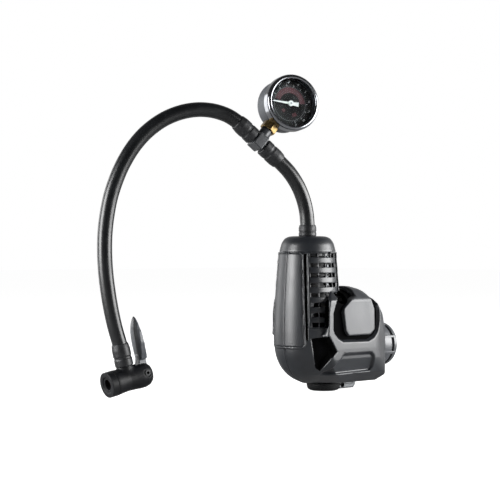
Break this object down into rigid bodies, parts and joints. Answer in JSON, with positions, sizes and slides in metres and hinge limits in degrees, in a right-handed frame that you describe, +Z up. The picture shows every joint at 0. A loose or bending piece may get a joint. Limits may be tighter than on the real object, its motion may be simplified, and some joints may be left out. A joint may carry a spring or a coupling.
{
  "type": "tire inflator head",
  "caption": "Right-angle tire inflator head: vented compressor tower on a gearbox with a round drive coupling, a curved hose with a dial gauge, and a lever-lock valve chuck.",
  "frame": {"origin": "centre of the drive coupling's end face, on the drive axis", "axes": "+X out of the coupling along the drive axis, +Z up the compressor tower, -Y the side that faces the viewer"},
  "size_m": [0.2353, 0.1032, 0.24],
  "materials": {
    "housing_shell": "fine moulded texture, satin",
    "strap_shell": "fine moulded texture, satin",
    "collar_plastic": "moulded, satin",
    "foot_rubber": "matte",
    "key_steel": "stamped and tumbled",
    "screw_steel": "zinc plated",
    "cast_alloy": "die cast",
    "bearing_steel": "ground",
    "shaft_steel": "ground",
    "gear_steel": "sintered",
    "gasket_fibre": "pressed fibre",
    "spring_steel": "drawn wire",
    "seal_plastic": "moulded",
    "valve_plastic": "moulded",
    "brass": "machined",
    "hose_rubber": "extruded, semi-gloss",
    "ferrule_black": "black coated, crimped",
    "tee_black": "black coated",
    "case_paint": "grey enamel on pressed steel",
    "chrome": "polished",
    "lens": "polished",
    "dial_print": "printed",
    "pointer_paint": "white enamel",
    "chuck_black": "black coated die casting",
    "lever_black": "moulded, satin",
    "seal_rubber": "moulded"
  },
  "bodies": {
    "housing": {"housing_left": "housing_shell", "housing_right": "housing_shell", "top_cap": "housing_shell", "saddle_strap": "strap_shell", "coupling_collar": "collar_plastic", "collar_screws": "screw_steel", "foot_cup": "foot_rubber", "lock_key": "key_steel", "lock_key_pin": "shaft_steel", "housing_screws": "screw_steel", "gear_frame": "cast_alloy", "cylinder": "cast_alloy", "cylinder_head": "cast_alloy", "head_gasket": "gasket_fibre", "head_screws": "screw_steel", "valve_spring": "spring_steel", "outlet_nipple": "brass", "shaft_bearing_rear": "bearing_steel", "shaft_bearing_front": "bearing_steel", "crank_bearing_rear": "bearing_steel", "crank_bearing_front": "bearing_steel", "base_ferrule": "ferrule_black", "lower_hose": "hose_rubber", "lower_tee_ferrule": "ferrule_black", "tee_fitting": "tee_black", "upper_tee_ferrule": "ferrule_black", "upper_hose": "hose_rubber", "chuck_ferrule": "ferrule_black", "gauge_socket": "brass", "gauge_case": "case_paint", "gauge_bezel": "chrome", "gauge_lens": "lens", "gauge_dial": "dial_print", "bourdon_tube": "brass", "gauge_movement": "brass", "chuck_body": "chuck_black", "chuck_seal": "seal_rubber", "nose_nut": "chuck_black", "lever_pin": "shaft_steel"},
    "input_train": {"input_shaft": "shaft_steel", "drive_dog": "gear_steel", "drive_pinion": "gear_steel"},
    "crank": {"drive_gear": "gear_steel", "crank_shaft": "shaft_steel", "crank_web": "gear_steel", "crank_pin": "shaft_steel"},
    "piston": {"piston_rod": "cast_alloy", "big_end_bearing": "bearing_steel", "cup_seal": "seal_plastic", "seal_retainer": "cast_alloy", "retainer_screw": "screw_steel"},
    "outlet_valve": {"delivery_valve": "valve_plastic"},
    "gauge_hand": {"gauge_pointer": "pointer_paint", "pointer_shaft": "shaft_steel"},
    "lever": {"chuck_lever": "lever_black"},
    "plunger": {"chuck_plunger": "brass", "depressor_pin": "shaft_steel"}
  },
  "joints": [
    {"name": "crank_spin", "type": "hinge", "parent": "housing", "child": "crank", "pos_m": [-0.06, 0, 0.022], "axis": [1, 0, 0], "continuous": true},
    {"name": "input_spin", "type": "hinge", "parent": "housing", "child": "input_train", "pos_m": [-0.03, 0, 0], "axis": [1, 0, 0], "continuous": true},
    {"name": "piston_slide", "type": "slide", "parent": "housing", "child": "piston", "axis": [0, 0, 1], "range_m": [0, 0.014]},
    {"name": "valve_lift", "type": "slide", "parent": "housing", "child": "outlet_valve", "axis": [0, 0, 1], "range_m": [0, 0.0012], "stiffness_N_per_m": 150, "springref_m": -0.0005, "deforming": ["valve_spring"]},
    {"name": "pointer_turn", "type": "hinge", "parent": "housing", "child": "gauge_hand", "pos_m": [-0.09746, 0.01052, 0.18464], "axis": [0.347, 0.9333, -0.092], "range_deg": [0, 248], "stiffness_Nm_per_rad": 0.00002, "springref_deg": -28.65},
    {"name": "lever_fold", "type": "hinge", "parent": "housing", "child": "lever", "pos_m": [-0.20209, 0.05785, -0.01542], "axis": [0.1791, 0.9823, -0.0556], "range_deg": [0, 90]},
    {"name": "plunger_slide", "type": "slide", "parent": "housing", "child": "plunger", "axis": [-0.9644, 0.1641, -0.2074], "range_m": [-0.002, 0]}
  ],
  "couplings": [
    {"joint": "input_spin", "follows": "crank_spin", "ratio": -2.6667},
    {"joint": "lever_fold", "follows": "plunger_slide", "rad_per_m": -785.39}
  ]
}
